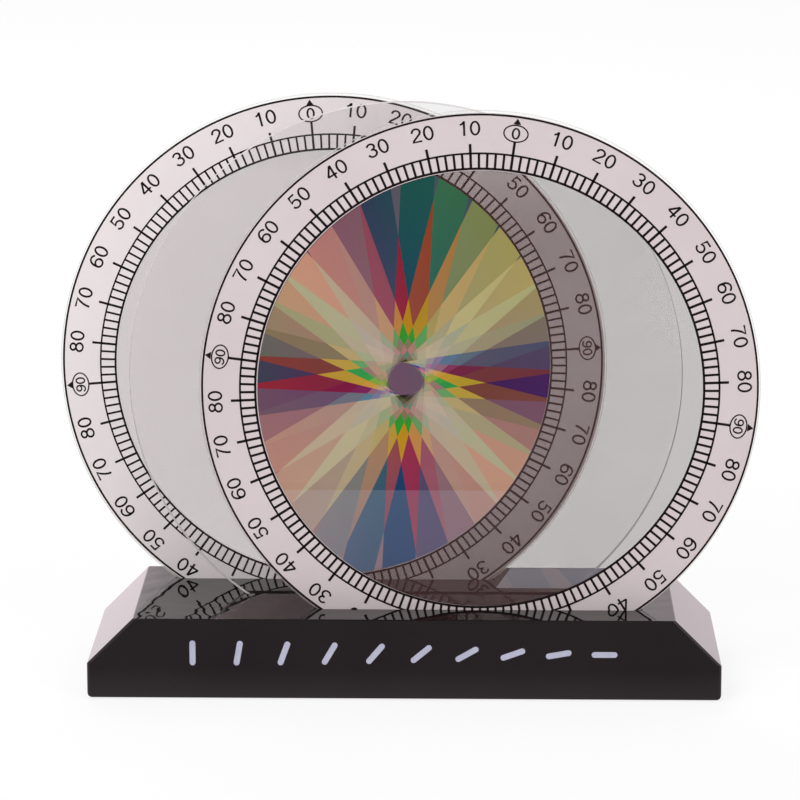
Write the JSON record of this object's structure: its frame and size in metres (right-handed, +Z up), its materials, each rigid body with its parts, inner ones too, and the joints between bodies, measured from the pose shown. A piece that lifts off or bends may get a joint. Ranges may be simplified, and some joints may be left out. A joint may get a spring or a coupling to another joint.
{
  "type": "polarization demonstrator",
  "caption": "Classroom optics stand: turning polarizer discs with angle scales and a clear pattern disc of crossed film strips between them, upright in the slots of a glossy black base.",
  "frame": {"origin": "on the surface that the feet stand on, under the middle of the base", "axes": "+Z up, +X to the right as the discs are looked at from the front, -Y the front"},
  "size_m": [0.2026, 0.0584, 0.1689],
  "materials": {
    "base_gloss_black": "glossy black moulded plastic",
    "cover_black": "fine matt moulded texture",
    "cradle_black": "satin moulded plastic",
    "screw_steel": "zinc plated",
    "foot_rubber": "matt rubber",
    "scale_white": "printed pale pinkish white sheet",
    "clear_pane": "clear polished sheet plastic",
    "polarizing_film": "smooth neutral grey film",
    "clear_strip": "clear stretched film"
  },
  "bodies": {
    "base": {"base_shell": "base_gloss_black", "bottom_cover": "cover_black", "cover_screws": "screw_steel", "foot_front_left": "foot_rubber", "foot_front_right": "foot_rubber", "foot_rear_left": "foot_rubber", "foot_rear_right": "foot_rubber", "front_cradle": "cradle_black", "middle_cradle": "cradle_black", "rear_cradle": "cradle_black"},
    "front_disc": {"front_scale_ring": "scale_white", "front_face_pane": "clear_pane", "front_polarizing_film": "polarizing_film", "front_back_pane": "clear_pane"},
    "pattern_disc": {"pattern_face_pane": "clear_pane", "pattern_back_pane": "clear_pane", "film_strip_01": "clear_strip", "film_strip_02": "clear_strip", "film_strip_03": "clear_strip", "film_strip_04": "clear_strip", "film_strip_05": "clear_strip", "film_strip_06": "clear_strip", "film_strip_07": "clear_strip", "film_strip_08": "clear_strip", "film_strip_09": "clear_strip", "film_strip_10": "clear_strip", "film_strip_11": "clear_strip", "film_strip_12": "clear_strip", "film_strip_13": "clear_strip", "film_strip_14": "clear_strip", "film_strip_15": "clear_strip", "film_strip_16": "clear_strip"},
    "rear_disc": {"rear_scale_ring": "scale_white", "rear_face_pane": "clear_pane", "rear_polarizing_film": "polarizing_film", "rear_back_pane": "clear_pane"}
  },
  "joints": [
    {"name": "front_disc_turn", "type": "hinge", "parent": "base", "child": "front_disc", "pos_m": [0.0213, -0.0167, 0.0889], "axis": [0, 1, 0], "continuous": true},
    {"name": "pattern_disc_turn", "type": "hinge", "parent": "base", "child": "pattern_disc", "pos_m": [0, 0, 0.0889], "axis": [0, 1, 0], "continuous": true},
    {"name": "rear_disc_turn", "type": "hinge", "parent": "base", "child": "rear_disc", "pos_m": [-0.0213, 0.0167, 0.0889], "axis": [0, 1, 0], "continuous": true}
  ]
}
